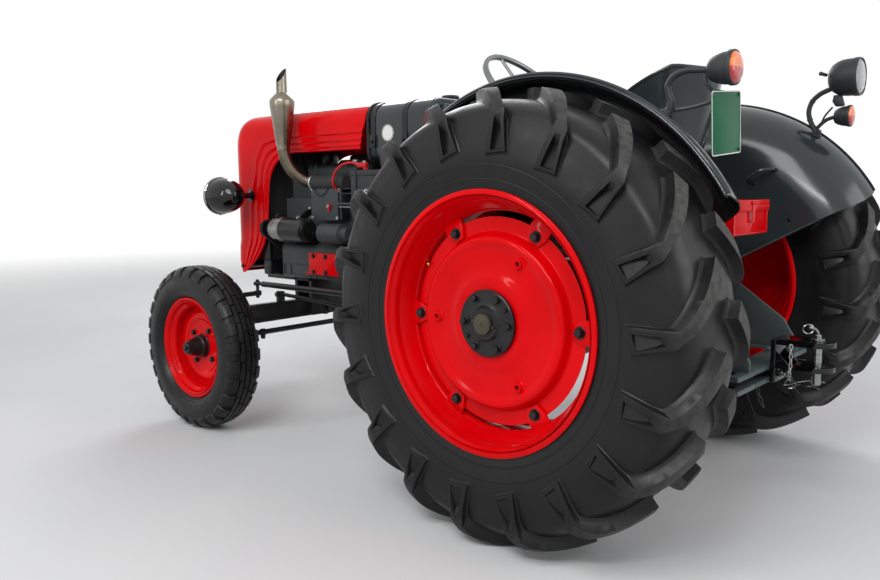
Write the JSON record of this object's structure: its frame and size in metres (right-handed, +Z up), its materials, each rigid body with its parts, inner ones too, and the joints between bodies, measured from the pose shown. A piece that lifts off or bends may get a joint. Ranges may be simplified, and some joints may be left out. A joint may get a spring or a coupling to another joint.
{
  "type": "vintage farm tractor",
  "caption": "Open vintage farm tractor with lugged rear wheels, straight front axle, tilting hood, steering, fenders and a drawbar for towing trailers and implements.",
  "frame": {"origin": "middle of the bounding box's footprint, on the ground, midway between the wheels' sides", "axes": "+X points forward, +Y to the driver's left, +Z up"},
  "size_m": [2.883, 1.794, 1.6],
  "materials": {
    "green_paint": "semi-gloss dark green-grey enamel",
    "red_paint": "gloss red enamel",
    "black_paint": "semi-gloss black enamel",
    "casting": "painted casting, dark green-grey",
    "tyre": "black tyre rubber",
    "stainless": "brushed stainless with a brown heat tint",
    "zinc": "bright zinc plate",
    "ring": "silver-grey enamel",
    "cable": "red cable sheath",
    "lamp": "black lamp housings with lenses",
    "plate": "blank green plate"
  },
  "bodies": {
    "chassis": {"gearbox": "casting", "engine": "casting", "side_cover": "red_paint", "dynamo": "black_paint", "starter": "casting", "manifold": "black_paint", "exhaust": "stainless", "radiator": "black_paint", "front_bolster": "black_paint", "front_axle": "black_paint", "battery_box": "black_paint", "battery_cable": "cable", "fuel_tank": "green_paint", "tank_straps": "black_paint", "steering_column": "green_paint", "fender_left": "green_paint", "fender_right": "green_paint", "foot_plates": "green_paint", "seat": "green_paint", "toolbox": "red_paint", "drawbar_plates": "green_paint", "hitch_clevis": "black_paint", "lamp_arms": "black_paint", "rear_lamps": "lamp", "number_plate": "plate", "controls": "black_paint"},
    "hood": {"hood": "red_paint", "grille": "red_paint", "headlamps": "lamp"},
    "toolbox_lid": {"toolbox_lid": "red_paint"},
    "hitch_pin": {"hitch_pin": "zinc"},
    "steering_wheel": {"steering_wheel": "ring"},
    "knuckle_left": {"knuckle_left": "black_paint"},
    "knuckle_right": {"knuckle_right": "black_paint"},
    "tie_rod": {"tie_rod": "black_paint"},
    "drag_link": {"drag_link": "black_paint"},
    "drop_arm": {"drop_arm": "black_paint"},
    "front_wheel_left": {"front_tyre_left": "tyre", "front_wheel_left": "red_paint"},
    "front_wheel_right": {"front_tyre_right": "tyre", "front_wheel_right": "red_paint"},
    "rear_wheel_left": {"rear_tyre_left": "tyre", "rear_rim_left": "red_paint", "rear_disc_left": "red_paint", "rear_hub_left": "black_paint"},
    "rear_wheel_right": {"rear_tyre_right": "tyre", "rear_rim_right": "red_paint", "rear_disc_right": "red_paint", "rear_hub_right": "black_paint"}
  },
  "joints": [
    {"name": "left_steer", "type": "hinge", "parent": "chassis", "child": "knuckle_left", "pos_m": [1.0065, 0.54, 0.47], "axis": [0, 0, 1], "range_deg": [-36, 36]},
    {"name": "right_steer", "type": "hinge", "parent": "chassis", "child": "knuckle_right", "pos_m": [1.0065, -0.54, 0.47], "axis": [0, 0, 1], "range_deg": [-36, 36]},
    {"name": "tie_rod_turn", "type": "hinge", "parent": "knuckle_left", "child": "tie_rod", "pos_m": [0.8715, 0.54, 0.405], "axis": [0, 0, 1], "range_deg": [-36, 36]},
    {"name": "drag_link_turn", "type": "hinge", "parent": "knuckle_left", "child": "drag_link", "pos_m": [1.0065, 0.375, 0.612], "axis": [0, 0, 1], "range_deg": [-36, 36]},
    {"name": "drop_arm_swing", "type": "hinge", "parent": "chassis", "child": "drop_arm", "pos_m": [0.1515, 0.3, 0.8], "axis": [0, 1, 0], "range_deg": [-32, 32]},
    {"name": "steering_wheel_turn", "type": "hinge", "parent": "chassis", "child": "steering_wheel", "pos_m": [-0.2905, 0, 1.412], "axis": [-0.7193, 0, 0.6947], "range_deg": [-432, 432]},
    {"name": "front_left_spin", "type": "hinge", "parent": "knuckle_left", "child": "front_wheel_left", "pos_m": [1.0065, 0.684, 0.36], "axis": [0, 1, 0], "continuous": true},
    {"name": "front_right_spin", "type": "hinge", "parent": "knuckle_right", "child": "front_wheel_right", "pos_m": [1.0065, -0.684, 0.36], "axis": [0, 1, 0], "continuous": true},
    {"name": "rear_left_spin", "type": "hinge", "parent": "chassis", "child": "rear_wheel_left", "pos_m": [-0.7535, 0.715, 0.665], "axis": [0, 1, 0], "continuous": true},
    {"name": "rear_right_spin", "type": "hinge", "parent": "chassis", "child": "rear_wheel_right", "pos_m": [-0.7535, -0.715, 0.665], "axis": [0, 1, 0], "continuous": true},
    {"name": "hood_tilt", "type": "hinge", "parent": "chassis", "child": "hood", "pos_m": [1.3615, 0, 0.672], "axis": [0, 1, 0], "range_deg": [0, 55]},
    {"name": "lid_open", "type": "hinge", "parent": "chassis", "child": "toolbox_lid", "pos_m": [-1.0455, 0, 0.996], "axis": [0, 1, 0], "range_deg": [0, 95]},
    {"name": "pin_lift", "type": "slide", "parent": "chassis", "child": "hitch_pin", "axis": [0, 0, 1], "range_m": [0, 0.15]}
  ],
  "couplings": [
    {"joint": "right_steer", "follows": "left_steer", "ratio": 1},
    {"joint": "tie_rod_turn", "follows": "left_steer", "ratio": -1},
    {"joint": "drag_link_turn", "follows": "left_steer", "ratio": -1},
    {"joint": "drop_arm_swing", "follows": "left_steer", "ratio": -0.8777},
    {"joint": "steering_wheel_turn", "follows": "left_steer", "ratio": 12}
  ]
}
